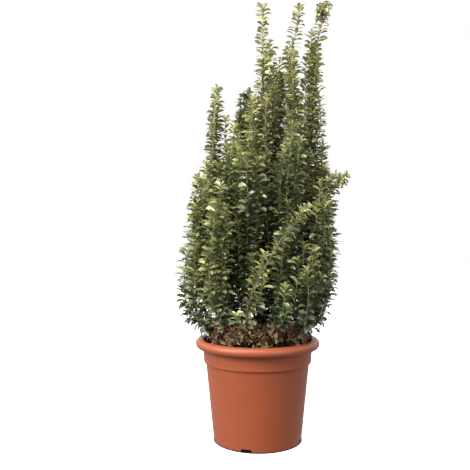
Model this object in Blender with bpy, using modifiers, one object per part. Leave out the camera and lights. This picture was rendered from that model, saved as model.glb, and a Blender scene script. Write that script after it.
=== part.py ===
"""A Japanese spindle with many upright shoots, growing in a terracotta-coloured plastic pot.

Metres, +Z up. The origin is the centre of the pot's flat underside, and the plant's front faces -Y.
"""

import itertools
import math
import random
from collections import namedtuple

import bmesh
import bpy
from mathutils import Matrix, Vector

# Pot
POT_HEIGHT = 0.228
RIM_RADIUS = 0.140
BEAD_RADIUS = 0.0105
COLLAR_TOP_RADIUS = 0.1230
COLLAR_FOOT_RADIUS = 0.1210
COLLAR_FOOT_Z = 0.176
BODY_TOP_RADIUS = 0.1160
BODY_TOP_Z = 0.168
BASE_RADIUS = 0.0990
WALL = 0.0025
FLOOR_Z = 0.0068
PAD_RADIUS = 0.050
FOOT_RING_RADIUS = 0.088
CHANNEL_Z = 0.0045
NOTCH_COUNT = 4
NOTCH_WIDTH = 0.025
NOTCH_HEIGHT = 0.0072
NOTCH_INNER_RADIUS = 0.082
NOTCH_TURN = math.radians(-106.6)
POT_SIDES = 32
BEAD_STEPS = 7
SOIL_SIDES = 24

# Soil, and the gap that neighbouring solids keep
SOIL_Z = 0.208
SOIL_CROWN = 0.003
GAP = 0.0003

# Trunk, stubs and boughs
TRUNK_FLARE = 0.027
TRUNK_WAIST = 0.017
FORK_Z = SOIL_Z + 0.014
STUB_REACH = 0.034
STUB_SIDES = 5
DRY_STUB_REACH = 0.026
DRY_STUB_RADII = (0.0034, 0.0026)
BOUGH_FOOT_RADIUS = 0.0038
BOUGH_TIP_RADIUS = 0.0028
BOUGH_STEPS = 2
END_RUN = 0.002
DRY_STEM_RADIUS = 0.0022
INNER_LEAN = 12
OUTER_LEAN = 68
DRY_LEAN = 86

# Masses of foliage
FOOT_INSET = 0.74
OUTER_FOOT_Z = 0.242
INNER_FOOT_RISE = 0.030
CROWN_RADIUS = 0.150
BULGE = 1.16
FOOT_SWELL = 0.90
SWELL_LENGTH = 0.07
TIP_GIRTH = 0.017
CORE_SHARES = (0.24, 0.34)
CORE_STEP = 0.056
CORE_TWIST = math.radians(45)
LEADER_TIP_RADIUS = 0.0009
LEAF_LENGTH = 0.058
LEAF_WIDTH = 0.041
LEAF_ARCH = 0.10
LEAF_KEEL = 0.07
TIP_LEAF = 0.034
TIP_LEAF_WIDTH = 0.022
TIP_RISES = (70, 48)
TIP_ROOT = 0.001
SHORT_LEAF = 0.72
LEAF_ROOT_SHARE = 0.12
LEAF_REACH = 1.30
LEAF_RISE = 46
LEAF_ROLLS = (22, 58)
FOOT_LEAF_RISE = 8
LEAF_SPACING = 0.735
TWIG_STEP = 0.28
TWIG_RADIUS = 0.0024
TWIG_LEAF = 0.030
TWIG_LEAF_ROOT = 0.0004
TWIG_LEAF_RISE = 40
TWIG_CLIMB = 0.105
CLEARANCE = 0.0022
LIMB_CLEARANCE = 0.0034
SEED = 11
DRY_LEAF = 0.030
DRY_LEAVES = 4
DRY_RISE = 56
SHARP = math.radians(34)

Mass = namedtuple("Mass", "name column tip girth taper bend", defaults=(0.12, None))

# Each mass climbs from its foot, by its column's (x, y), to its tip, and narrows over the last taper
# metres. bend holds the two inner control points of a mass that sweeps.
MASSES = (
    Mass("front_left", (-0.092, -0.100), (-0.080, -0.110, 0.580), 0.035),
    Mass(
        "diagonal",
        (-0.028, -0.130),
        (0.108, -0.140, 0.530),
        0.024,
        0.14,
        ((-0.050, -0.156, 0.325), (0.020, -0.158, 0.420)),
    ),
    Mass("front_low", (0.040, -0.118), (0.054, -0.132, 0.362), 0.034, 0.08),
    Mass("front_right_low", (0.104, -0.100), (0.114, -0.112, 0.440), 0.036),
    Mass("left_front", (-0.122, -0.052), (-0.124, -0.060, 0.592), 0.033),
    Mass("centre_front", (-0.018, -0.066), (-0.021, -0.076, 0.690), 0.036),
    Mass("mid_front", (0.054, -0.060), (0.074, -0.066, 0.712), 0.036),
    Mass("right_front", (0.124, -0.046), (0.136, -0.058, 0.588), 0.034),
    Mass(
        "left",
        (-0.134, 0.018),
        (-0.117, 0.004, 0.636),
        0.036,
        0.12,
        ((-0.204, 0.018, 0.296), (-0.112, 0.010, 0.500)),
    ),
    Mass("left_inner", (-0.064, -0.008), (-0.052, -0.006, 0.728), 0.036),
    Mass("spire_centre", (0.004, 0.002), (0.010, 0.000, 0.990), 0.036, 0.26),
    Mass("spire_inner", (0.072, 0.008), (0.092, 0.000, 0.983), 0.036, 0.30),
    Mass(
        "right_outer",
        (0.138, 0.012),
        (0.197, -0.012, 0.600),
        0.029,
        0.08,
        ((0.190, 0.008, 0.300), (0.120, 0.002, 0.500)),
    ),
    Mass("right", (0.124, 0.086), (0.156, 0.044, 0.674), 0.038),
    Mass("spire_left", (-0.104, 0.078), (-0.092, 0.054, 0.814), 0.037, 0.20),
    Mass("back_inner_left", (-0.034, 0.066), (-0.024, 0.060, 0.806), 0.036),
    Mass("back_inner_right", (0.034, 0.068), (0.056, 0.054, 0.886), 0.036, 0.11),
    Mass("spire_right", (0.098, 0.060), (0.154, 0.046, 1.004), 0.037, 0.20),
    Mass("back_left", (-0.070, 0.132), (-0.078, 0.134, 0.650), 0.037),
    Mass("back_centre", (0.006, 0.134), (0.008, 0.134, 0.746), 0.037),
    Mass("back_right", (0.082, 0.132), (0.100, 0.130, 0.696), 0.037),
)
DRY_BEARINGS = tuple(math.radians(a) for a in (-88, -30, -141, 44, 131))
DRY_REACH = 0.098
DRY_GIRTH = 0.030

COLOURS = {
    "terracotta": ((0.62, 0.23, 0.12, 1.0), 0.45),
    "soil": ((0.045, 0.026, 0.018, 1.0), 0.95),
    "bark": ((0.16, 0.10, 0.065, 1.0), 0.85),
    "leaf": ((0.075, 0.150, 0.040, 1.0), 0.42),
    "dry_leaf": ((0.20, 0.13, 0.06, 1.0), 0.80),
}


def clear_scene():
    for obj in list(bpy.data.objects):
        bpy.data.objects.remove(obj, do_unlink=True)


def material(name):
    colour, roughness = COLOURS[name]
    made = bpy.data.materials.new(name)
    made.use_nodes = True
    shader = made.node_tree.nodes["Principled BSDF"]
    shader.inputs["Base Color"].default_value = colour
    shader.inputs["Roughness"].default_value = roughness
    made.diffuse_color = colour
    return made


def new_object(name, data, group):
    made = bpy.data.objects.new(name, data)
    group.objects.link(made)
    return made


def mesh_from(name, build):
    """A mesh made by build, a function that fills a bmesh."""
    work = bmesh.new()
    build(work)
    mesh = bpy.data.meshes.new(name)
    work.to_mesh(mesh)
    work.free()
    return mesh


def bezier(points, t):
    """The point at t, from 0 to 1, on the cubic curve through four control points."""
    a, b, c, d = points
    s = 1.0 - t
    return a * s**3 + b * (3 * s * s * t) + c * (3 * s * t * t) + d * t**3


def bezier_tangent(points, t):
    a, b, c, d = points
    s = 1.0 - t
    return ((b - a) * (s * s) + (c - b) * (2 * s * t) + (d - c) * (t * t)).normalized()


def along(points, t):
    """The frame at t on a curve: its point, its direction and two directions across it."""
    up = bezier_tangent(points, t)
    side = Vector((1, 0, 0)) - up * up.x
    side.normalize()
    return bezier(points, t), up, side, up.cross(side)


def turned(name, profile, sides, group):
    """A solid turned from (radius, z) points that start and end on the Z axis, outer side downwards."""
    mesh = bpy.data.meshes.new(name)
    edges = [(i, i + 1) for i in range(len(profile) - 1)]
    mesh.from_pydata([(r, 0, z) for r, z in profile], edges, [])
    made = new_object(name, mesh, group)
    screw = made.modifiers.new("turn", "SCREW")
    screw.steps = screw.render_steps = sides
    screw.use_merge_vertices = True
    screw.merge_threshold = 0.00001
    return made


def applied(obj):
    """The object with its modifiers applied, as a plain mesh."""
    graph = bpy.context.evaluated_depsgraph_get()
    mesh = bpy.data.meshes.new_from_object(obj.evaluated_get(graph))
    mesh.name = obj.name
    obj.modifiers.clear()
    obj.data = mesh
    return obj


def smoothed(obj):
    """The object shaded smooth, with its edges kept sharp."""
    obj.data.shade_smooth()
    obj.data.set_sharp_from_angle(angle=SHARP)
    return obj


def tube(name, points, radii, group, resolution=1, twist=0.0):
    """A tapering limb: a curve with a round bevel and filled caps, turned by twist at each point."""
    curve = bpy.data.curves.new(name, "CURVE")
    curve.dimensions = "3D"
    curve.bevel_depth = 1.0
    curve.bevel_resolution = resolution
    curve.use_fill_caps = True
    spline = curve.splines.new("POLY")
    spline.points.add(len(points) - 1)
    for number, (place, point, radius) in enumerate(zip(spline.points, points, radii)):
        place.co = (*point, 1.0)
        place.radius = radius
        place.tilt = twist * number
    return new_object(name, curve, group)


def tube_mesh(name, points, radii, group, twist=0.0):
    """The same limb as a closed four-sided mesh, for a Boolean."""
    curve = tube(name + "_curve", points, radii, group, 0, twist)
    graph = bpy.context.evaluated_depsgraph_get()
    mesh = bpy.data.meshes.new_from_object(curve.evaluated_get(graph))
    bpy.data.objects.remove(curve, do_unlink=True)
    work = bmesh.new()
    work.from_mesh(mesh)
    bmesh.ops.remove_doubles(work, verts=work.verts, dist=0.000005)
    bmesh.ops.recalc_face_normals(work, faces=work.faces)
    work.to_mesh(mesh)
    work.free()
    return new_object(name, mesh, group)


def cone(name, start, end, radius_start, radius_end, sides, group):
    """A straight tapering piece from start to end."""
    line = end - start
    turn = line.to_track_quat("Z", "Y").to_matrix().to_4x4()
    place = Matrix.Translation((start + end) / 2) @ turn

    def build(work):
        bmesh.ops.create_cone(
            work,
            cap_ends=True,
            segments=sides,
            radius1=radius_start,
            radius2=radius_end,
            depth=line.length,
            matrix=place,
        )

    return new_object(name, mesh_from(name, build), group)


def island_faces(work):
    """The mesh's separate bodies, each a list of faces."""
    left = set(work.faces)
    while left:
        first = left.pop()
        found, edge = [first], [first]
        while edge:
            for line in edge.pop().edges:
                for face in line.link_faces:
                    if face in left:
                        left.remove(face)
                        found.append(face)
                        edge.append(face)
        yield found


def keep_largest_body(mesh):
    """Drops loose scraps and sealed hollows that a union can leave."""
    work = bmesh.new()
    work.from_mesh(mesh)
    bodies = sorted(island_faces(work), key=lambda faces: sum(f.calc_area() for f in faces))
    for scrap in bodies[:-1]:
        bmesh.ops.delete(work, geom=scrap, context="FACES")
    work.to_mesh(mesh)
    work.free()


def fuse(body, pieces, solver="EXACT"):
    """One Boolean union of a body with a collection of pieces, applied."""
    group = bpy.data.collections.new(body.name + "_pieces")
    bpy.context.scene.collection.children.link(group)
    for piece in pieces:
        for other in list(piece.users_collection):
            other.objects.unlink(piece)
        group.objects.link(piece)
    union = body.modifiers.new("fuse", "BOOLEAN")
    union.operation = "UNION"
    union.operand_type = "COLLECTION"
    union.collection = group
    union.solver = solver
    applied(body)
    for piece in list(group.objects):
        bpy.data.objects.remove(piece, do_unlink=True)
    bpy.data.collections.remove(group)
    keep_largest_body(body.data)
    return body


def pot_profile():
    """The pot's closed section: down the outside, across the underside and up the inside."""
    bead_r, bead_z = RIM_RADIUS - BEAD_RADIUS, POT_HEIGHT - BEAD_RADIUS
    bead = []
    for i in range(BEAD_STEPS + 1):
        angle = math.radians(150 - 290 * i / BEAD_STEPS)
        bead.append((bead_r + BEAD_RADIUS * math.cos(angle), bead_z + BEAD_RADIUS * math.sin(angle)))
    outside = [
        (COLLAR_TOP_RADIUS, POT_HEIGHT - 2 * BEAD_RADIUS),
        (COLLAR_FOOT_RADIUS, COLLAR_FOOT_Z),
        (COLLAR_FOOT_RADIUS - 0.001, COLLAR_FOOT_Z - 0.003),
        (BODY_TOP_RADIUS, BODY_TOP_Z),
        (BASE_RADIUS, 0.0025),
        (BASE_RADIUS - 0.0020, 0.0),
    ]
    underside = [
        (FOOT_RING_RADIUS, 0.0),
        (FOOT_RING_RADIUS - 0.002, CHANNEL_Z),
        (PAD_RADIUS + 0.002, CHANNEL_Z),
        (PAD_RADIUS, 0.0),
        (0.0, 0.0),
    ]
    inside = [
        (0.0, FLOOR_Z),
        (inner_radius(FLOOR_Z), FLOOR_Z),
        (BODY_TOP_RADIUS - WALL, BODY_TOP_Z - 0.001),
        (COLLAR_FOOT_RADIUS - WALL, COLLAR_FOOT_Z + 0.001),
        (COLLAR_TOP_RADIUS - WALL, POT_HEIGHT - 2 * BEAD_RADIUS),
    ]
    return inside + bead + outside + underside


def inner_radius(z):
    """The pot's inner radius at height z, below its collar."""
    share = z / BODY_TOP_Z
    return BASE_RADIUS + (BODY_TOP_RADIUS - BASE_RADIUS) * share - WALL


def make_pot(group, cutters):
    """The turned pot, with a drain notch cut through its foot ring in four places."""
    pot = turned("pot", pot_profile(), POT_SIDES, group)
    for i in range(NOTCH_COUNT):
        bearing = NOTCH_TURN + i * math.tau / NOTCH_COUNT
        middle = (NOTCH_INNER_RADIUS + BASE_RADIUS) / 2 + 0.004
        depth = BASE_RADIUS - NOTCH_INNER_RADIUS + 0.008
        size = Matrix.Diagonal((depth, NOTCH_WIDTH, 2 * NOTCH_HEIGHT, 1))
        place = Matrix.Rotation(bearing, 4, "Z") @ Matrix.Translation((middle, 0, 0)) @ size
        cutter = new_object(
            f"notch_cutter_{i + 1}",
            mesh_from("notch", lambda work: bmesh.ops.create_cube(work, size=1, matrix=place)),
            cutters,
        )
        cutter.hide_render = True
        cutter.display_type = "WIRE"
        cut = pot.modifiers.new(f"notch_{i + 1}", "BOOLEAN")
        cut.operation = "DIFFERENCE"
        cut.object = cutter
    return smoothed(applied(pot))


def make_soil(group):
    """The potting soil: a solid that fills the pot up to a slightly crowned surface."""
    top = SOIL_Z + SOIL_CROWN
    wall = COLLAR_TOP_RADIUS - WALL - GAP * 2
    shoulder = BODY_TOP_RADIUS - WALL - GAP * 2
    profile = [
        (0.0, top),
        (0.060, top - 0.001),
        (wall - 0.001, SOIL_Z - 0.002),
        (wall - 0.0015, SOIL_Z - 0.006),
        (COLLAR_FOOT_RADIUS - WALL - 0.001, COLLAR_FOOT_Z + 0.002),
        (shoulder - 0.0005, BODY_TOP_Z),
        (inner_radius(FLOOR_Z) - 0.001, FLOOR_Z + GAP),
        (0.0, FLOOR_Z + GAP),
    ]
    return smoothed(applied(turned("soil", profile, SOIL_SIDES, group)))


def foot_of(mass):
    """Where a mass's own stem begins, above its bough."""
    x, y = (FOOT_INSET * c for c in mass.column)
    share = min(1.0, math.hypot(*mass.column) / CROWN_RADIUS)
    return Vector((x, y, OUTER_FOOT_Z + INNER_FOOT_RISE * (1 - share**1.5)))


def axis_of(mass):
    """The leader's line: four control points from the foot, by the column, to the tip."""
    foot, tip = foot_of(mass), Vector(mass.tip)
    if mass.bend:
        return foot, Vector(mass.bend[0]), Vector(mass.bend[1]), tip
    rise = tip.z - foot.z
    column = Vector((*mass.column, 0))
    outward = column * BULGE
    low = Vector((outward.x, outward.y, foot.z + 0.16 * rise))
    high = Vector((column.x, column.y, 0)).lerp(Vector((tip.x, tip.y, 0)), 0.45)
    high.z = foot.z + 0.70 * rise
    return foot, low, high, tip


def length_of(mass):
    axis = AXES[mass.name]
    marks = [bezier(axis, i / 16) for i in range(17)]
    return sum((b - a).length for a, b in zip(marks, marks[1:]))


def girth_at(mass, reached):
    """The mass's outer radius at a distance along its axis: it swells from its foot, then narrows."""
    left = max(0.0, LENGTHS[mass.name] - reached)
    swell = min(1.0, FOOT_SWELL + (1 - FOOT_SWELL) * reached / SWELL_LENGTH)
    taper = min(1.0, left / mass.taper) ** 0.8
    return TIP_GIRTH + (mass.girth * swell - TIP_GIRTH) * taper


def stub_direction(foot):
    """A stub leans further from the vertical the further out its foot lies."""
    share = min(1.0, math.hypot(foot.x, foot.y) / (FOOT_INSET * CROWN_RADIUS))
    lean = INNER_LEAN + (OUTER_LEAN - INNER_LEAN) * share
    return leaning(math.atan2(foot.y, foot.x), lean)


def leaning(bearing, lean):
    """The direction that leans from the vertical by lean degrees, towards a bearing in radians."""
    lean = math.radians(lean)
    return Vector(
        (math.sin(lean) * math.cos(bearing), math.sin(lean) * math.sin(bearing), math.cos(lean))
    )


FORK = Vector((0, 0, FORK_Z))
AXES = {mass.name: axis_of(mass) for mass in MASSES}
LENGTHS = {mass.name: length_of(mass) for mass in MASSES}


def bough_line(mass):
    """The bough's control points, from its stub's end to the mass's foot."""
    axis = AXES[mass.name]
    out = stub_direction(axis[0])
    start = FORK + out * (STUB_REACH + GAP)
    up = bezier_tangent(axis, 0)
    end = axis[0] - up * GAP
    reach = (end - start).length
    return start, start + out * reach * 0.35, end - up * reach * 0.35, end


def make_trunk(group):
    """The short trunk with its root flare, and the stub of every bough fused to it."""
    profile = [
        (0.0, FORK_Z + 0.016),
        (0.010, FORK_Z + 0.013),
        (TRUNK_WAIST, FORK_Z + 0.002),
        (TRUNK_WAIST + 0.001, SOIL_Z + 0.009),
        (TRUNK_FLARE, SOIL_Z + SOIL_CROWN + GAP),
        (0.0, SOIL_Z + SOIL_CROWN + GAP),
    ]
    trunk = applied(turned("trunk", profile, 12, group))
    stubs = []
    for mass in MASSES:
        out = stub_direction(AXES[mass.name][0])
        wide, narrow = BOUGH_FOOT_RADIUS * 1.35, BOUGH_FOOT_RADIUS
        stubs.append(
            cone("stub", FORK + out * 0.004, FORK + out * STUB_REACH, wide, narrow, STUB_SIDES, group)
        )
    wide, narrow = DRY_STUB_RADII
    for bearing in DRY_BEARINGS:
        out = leaning(bearing, DRY_LEAN)
        stubs.append(
            cone("stub", FORK + out * 0.004, FORK + out * DRY_STUB_REACH, wide, narrow, STUB_SIDES, group)
        )
    return smoothed(fuse(trunk, stubs))


def limb(line, steps, radius_start, radius_end):
    """The points and radii of a limb along a curve, with a short straight run at its flat ends."""
    run = END_RUN / (line[3] - line[0]).length
    shares = [0.0, run] + [i / steps for i in range(1, steps)] + [1.0 - run, 1.0]
    points = [bezier(line, t) for t in shares]
    points[1] = line[0] + bezier_tangent(line, 0.0) * END_RUN
    points[-2] = line[3] - bezier_tangent(line, 1.0) * END_RUN
    radii = [radius_start + (radius_end - radius_start) * t for t in shares]
    return points, radii


def make_bough(mass, group):
    points, radii = limb(bough_line(mass), BOUGH_STEPS, BOUGH_FOOT_RADIUS, BOUGH_TIP_RADIUS)
    return tube("bough_" + mass.name, points, radii, group)


def limb_marks():
    """Points with radii along every bough and dry stem, which leaves keep clear of."""
    marks = []
    for mass in MASSES:
        line = bough_line(mass)
        for i in range(21):
            marks.append((bezier(line, i / 20), BOUGH_FOOT_RADIUS))
        for i in range(6):
            out = stub_direction(AXES[mass.name][0])
            marks.append((FORK + out * (0.006 * i), BOUGH_FOOT_RADIUS * 1.4))
    for i in range(5):
        marks.append((Vector((0, 0, SOIL_Z + 0.006 * i)), TRUNK_WAIST))
    return marks


def dry_line(bearing):
    """The line of a dry tuft's stem, from its stub's end."""
    start = FORK + leaning(bearing, DRY_LEAN) * (DRY_STUB_REACH + GAP)
    end = Vector((DRY_REACH * math.cos(bearing), DRY_REACH * math.sin(bearing), FORK_Z + 0.006))
    return start, start.lerp(end, 0.33), start.lerp(end, 0.66), end


def marks_on(line):
    return [bezier(line, i / 28) for i in range(29)]


LIMB_MARKS = limb_marks()
SPACES = {mass.name: (marks_on(AXES[mass.name]), mass.girth) for mass in MASSES}
SPACES |= {bearing: (marks_on(dry_line(bearing)), DRY_GIRTH) for bearing in DRY_BEARINGS}


def line_distance(marks, point):
    """The distance from a point to a line that is given as a row of marks."""
    best = min(range(len(marks)), key=lambda i: (marks[i] - point).length_squared)
    nearest = (marks[best] - point).length
    for a, b in ((best - 1, best), (best, best + 1)):
        if a < 0 or b >= len(marks):
            continue
        line = marks[b] - marks[a]
        share = max(0.0, min(1.0, (point - marks[a]).dot(line) / line.length_squared))
        nearest = min(nearest, (marks[a] + line * share - point).length)
    return nearest


def in_own_space(space, point):
    """True where a point is nearer, by girth, to this mass's axis than to any other's."""
    marks, girth = SPACES[space]
    own = (line_distance(marks, point) + 2 * CLEARANCE) / girth
    return all(
        line_distance(marks, point) / girth > own
        for other, (marks, girth) in SPACES.items()
        if other != space
    )


def clear_of_pot(point):
    radius = math.hypot(point.x, point.y)
    if point.z > POT_HEIGHT + CLEARANCE:
        return True
    inside = COLLAR_TOP_RADIUS - WALL - CLEARANCE - 0.001
    return radius < inside and point.z > SOIL_Z + SOIL_CROWN + 0.001


def clear_of_limbs(point):
    return all((mark - point).length > radius + LIMB_CLEARANCE for mark, radius in LIMB_MARKS)


def leaf_corners(root, out, across, length, width):
    """A leaf's corners: root, drooping tip, the two sides of its arched middle, and its keel."""
    lift = out.cross(across).normalized()
    lift = lift if lift.z > 0 else -lift
    middle = root + out * (0.52 * length) + lift * (LEAF_ARCH * length)
    return {
        "root": root,
        "tip": root + out * length - lift * (0.04 * length),
        "left": middle - across * (width / 2),
        "right": middle + across * (width / 2),
        "keel": middle - lift * (LEAF_KEEL * length),
    }


def leaf(corners, group):
    """A leaf: a three-sided ball of two rings, with its five corners moved to the leaf's own."""

    def build(work):
        bmesh.ops.create_uvsphere(work, u_segments=3, v_segments=2, radius=1)
        for corner in work.verts:
            x, y, z = corner.co
            if abs(z) > 0.5:
                corner.co = corners["tip" if z > 0 else "root"]
            elif x > 0.5:
                corner.co = corners["keel"]
            else:
                corner.co = corners["left" if y > 0 else "right"]
        bmesh.ops.recalc_face_normals(work, faces=work.faces)

    return new_object("leaf", mesh_from("leaf", build), group)


def leaf_fits(space, corners):
    """True where a leaf's corners keep to its own space, and its edges touch no limb and no pot."""
    ends = list(corners.values())
    middles = [a.lerp(b, 0.5) for a, b in itertools.combinations(ends, 2)]
    if not all(in_own_space(space, corner) for corner in ends):
        return False
    return all(clear_of_pot(point) and clear_of_limbs(point) for point in ends + middles)


def leaf_pair(space, place, up, across, root_reach, length, rise, rng, group):
    """Two opposite leaves on a stem that runs along up. A leaf that fits at neither size is left out."""
    made = []
    for way in (1, -1):
        level = across * way
        pitch = math.radians(rise + rng.uniform(-7, 7))
        out = (level * math.cos(pitch) + up * math.sin(pitch)).normalized()
        roll = math.radians(rng.choice((-1, 1)) * rng.uniform(*LEAF_ROLLS))
        side = Matrix.Rotation(roll, 3, out) @ up.cross(level).normalized()
        root = place + level * root_reach
        full = length * rng.uniform(0.92, 1.08)
        for size in (full, full * SHORT_LEAF):
            corners = leaf_corners(root, out, side, size, size * LEAF_WIDTH / LEAF_LENGTH)
            if leaf_fits(space, corners):
                made.append(leaf(corners, group))
                break
    return made


def make_core(mass, group):
    """The mass's own stem inside its dense middle: one limb that widens into tiers, like stacked leaves."""
    length = LENGTHS[mass.name]
    tiers = round(length / CORE_STEP)
    points, radii = limb(AXES[mass.name], tiers, BOUGH_TIP_RADIUS, LEADER_TIP_RADIUS)
    for tier in range(1, tiers):
        radii[tier + 1] = CORE_SHARES[tier % 2] * girth_at(mass, length * tier / tiers)
    return tube_mesh("foliage_" + mass.name, points, radii, group, CORE_TWIST)


def leaf_levels(mass):
    """Where pairs of leaves sit on a mass's stem, with their root's reach, length and rise."""
    reached = 0.012
    while reached < LENGTHS[mass.name] - 1.3 * TIP_LEAF:
        girth = girth_at(mass, reached)
        root = LEAF_ROOT_SHARE * girth
        rise = FOOT_LEAF_RISE if reached < 0.04 else LEAF_RISE
        size = min(LEAF_LENGTH, (LEAF_REACH * girth - root) / math.cos(math.radians(rise)))
        yield reached, root, size, rise
        reached += LEAF_SPACING * size


def make_mass(mass, rng, group):
    """One mass: its stem and core, twigs that leave the stem by a seeded rule, and leaves."""
    axis, length = AXES[mass.name], LENGTHS[mass.name]
    pieces = []
    turn = rng.uniform(0, math.pi)
    for reached, root, size, rise in leaf_levels(mass):
        place, up, side, across = along(axis, reached / length)
        turn += math.pi / 2 + rng.uniform(-0.25, 0.25)
        level = side * math.cos(turn) + across * math.sin(turn)
        pieces += leaf_pair(mass.name, place, up, level, root, size, rise, rng, group)
    pieces += tip_leaves(mass, group)
    pieces += make_twigs(mass, rng, group)
    made = fuse(make_core(mass, group), pieces)
    made.data.shade_flat()
    return made


def tip_leaves(mass, group):
    """The two crossed pairs that close round the tip. The steeper one reaches the top of the mass."""
    length = LENGTHS[mass.name]
    made = []
    for number, rise in enumerate(TIP_RISES):
        steepness = math.sin(math.radians(rise))
        reached = length - TIP_LEAF * (steepness + 0.45 * number)
        place, up, side, across = along(AXES[mass.name], reached / length)
        level = across if number else side
        for way in (1, -1):
            out = (up * steepness + level * way * math.sqrt(1 - steepness**2)).normalized()
            root = place + level * way * TIP_ROOT
            corners = leaf_corners(root, out, up.cross(level), TIP_LEAF, TIP_LEAF_WIDTH)
            made.append(leaf(corners, group))
    return made


def make_twigs(mass, rng, group):
    """Side shoots: each leaves the leader, climbs steeply to the mass's edge and carries leaves."""
    axis, length = AXES[mass.name], LENGTHS[mass.name]
    count = max(2, round(length / TWIG_STEP))
    bearing = rng.uniform(0, math.tau)
    made = []
    for i in range(count):
        start_t = 0.10 + 0.62 * (i + rng.uniform(0.1, 0.7)) / count
        end_t = min(0.93, start_t + TWIG_CLIMB / length)
        bearing += 2.4
        place, _, _, _ = along(axis, start_t)
        above, up, side, across = along(axis, end_t)
        away = side * math.cos(bearing) + across * math.sin(bearing)
        tip = above + away * girth_at(mass, end_t * length) * 0.92
        if not (in_own_space(mass.name, tip) and clear_of_limbs(tip)):
            continue
        made.append(cone("twig", place, tip, TWIG_RADIUS, TWIG_RADIUS * 0.6, 3, group))
        line = (tip - place).normalized()
        cross = line.cross(away).normalized()
        facing = cross.cross(line).normalized()
        for share, level in ((0.70, cross), (0.97, facing)):
            at = place.lerp(tip, share)
            made += leaf_pair(
                mass.name, at, line, level, TWIG_LEAF_ROOT, TWIG_LEAF, TWIG_LEAF_RISE, rng, group
            )
    return made


def make_dry_tuft(number, bearing, rng, group):
    """A low tuft of dry leaves by the soil, on a stem that leaves the foot of the trunk."""
    line = dry_line(bearing)
    points = [bezier(line, i / 4) for i in range(5)]
    radii = [DRY_STEM_RADIUS * (1 - 0.12 * i) for i in range(5)]
    stem = tube_mesh(f"dry_tuft_{number}", points, radii, group)
    pieces = []
    turn = 0.3
    for i in range(DRY_LEAVES):
        place, up, side, across = along(line, 0.30 + 0.68 * i / (DRY_LEAVES - 1))
        turn += math.pi / 2 + rng.uniform(-0.3, 0.3)
        level = side * math.cos(turn) + across * math.sin(turn)
        pieces += leaf_pair(bearing, place, up, level, TWIG_LEAF_ROOT, DRY_LEAF, DRY_RISE, rng, group)
    made = fuse(stem, pieces)
    made.data.shade_flat()
    return made


def main():
    clear_scene()
    plant = bpy.data.collections.new("potted_japanese_spindle")
    cutters = bpy.data.collections.new("cutters")
    for group in (plant, cutters):
        bpy.context.scene.collection.children.link(group)
    paints = {name: material(name) for name in COLOURS}
    rng = random.Random(SEED)
    made = [
        (make_pot(plant, cutters), "terracotta"),
        (make_soil(plant), "soil"),
        (make_trunk(plant), "bark"),
    ]
    for mass in MASSES:
        made.append((make_bough(mass, plant), "bark"))
        made.append((make_mass(mass, rng, plant), "leaf"))
    for number, bearing in enumerate(DRY_BEARINGS, 1):
        made.append((make_dry_tuft(number, bearing, rng, plant), "dry_leaf"))
    for obj, paint in made:
        obj.data.materials.clear()
        obj.data.materials.append(paints[paint])


main()
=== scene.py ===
"""The potted Japanese spindle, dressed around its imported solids.

Every mass of foliage grows again from its bough by the rule of the solids, carried on to
side shoots, twigs and single leaves. Metres, +Z up, the plant's front faces -Y.
"""

import math
import random
from collections import namedtuple

import bmesh
import bpy
import numpy as np
from mathutils import Matrix, Vector, noise


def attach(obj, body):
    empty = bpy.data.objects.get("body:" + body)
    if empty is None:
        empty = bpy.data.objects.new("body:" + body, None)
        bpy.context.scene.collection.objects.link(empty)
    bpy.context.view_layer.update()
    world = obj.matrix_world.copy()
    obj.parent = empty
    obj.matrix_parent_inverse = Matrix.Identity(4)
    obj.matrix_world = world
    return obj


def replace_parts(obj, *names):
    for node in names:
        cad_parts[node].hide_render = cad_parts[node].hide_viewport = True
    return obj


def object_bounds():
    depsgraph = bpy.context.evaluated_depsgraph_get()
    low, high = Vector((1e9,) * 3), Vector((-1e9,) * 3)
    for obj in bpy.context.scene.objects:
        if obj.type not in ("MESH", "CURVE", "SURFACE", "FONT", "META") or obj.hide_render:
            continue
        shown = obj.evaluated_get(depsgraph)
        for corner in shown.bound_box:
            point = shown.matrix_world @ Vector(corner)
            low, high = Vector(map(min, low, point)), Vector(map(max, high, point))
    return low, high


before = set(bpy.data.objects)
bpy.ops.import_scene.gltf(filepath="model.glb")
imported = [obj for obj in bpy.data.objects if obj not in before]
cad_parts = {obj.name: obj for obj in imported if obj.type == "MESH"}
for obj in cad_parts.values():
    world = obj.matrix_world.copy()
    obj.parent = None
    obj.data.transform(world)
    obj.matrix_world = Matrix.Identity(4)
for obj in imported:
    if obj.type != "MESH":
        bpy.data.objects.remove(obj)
cad_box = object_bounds()

# Camera: the photograph's level view
CAMERA_PLACE = (-0.051, -1.364, 0.461)
CAMERA_LENS = 45.96
SENSOR = 36.0

# Pot and soil, as in the solids
POT_HEIGHT = 0.228
RIM_RADIUS = 0.140
BEAD_RADIUS = 0.0105
COLLAR_TOP_RADIUS = 0.1230
COLLAR_FOOT_RADIUS = 0.1210
COLLAR_FOOT_Z = 0.176
BODY_TOP_RADIUS = 0.1160
BODY_TOP_Z = 0.168
BASE_RADIUS = 0.0990
WALL = 0.0025
FLOOR_Z = 0.0068
PAD_RADIUS = 0.050
FOOT_RING_RADIUS = 0.088
CHANNEL_Z = 0.0045
NOTCH_COUNT = 4
NOTCH_WIDTH = 0.025
NOTCH_HEIGHT = 0.0072
NOTCH_INNER_RADIUS = 0.082
NOTCH_TURN = math.radians(-106.6)
SOIL_Z = 0.208
SOIL_CROWN = 0.003

# Pot and soil, finer than in the solids
POT_SIDES = 160
NOTCH_OVERCUT = 0.008
NOTCH_ROUNDING = 0.0012
SOIL_SIDES = 120
SOIL_RINGS = 34
SOIL_FALL = 0.005
SOIL_LUMP = 0.0022

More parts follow.
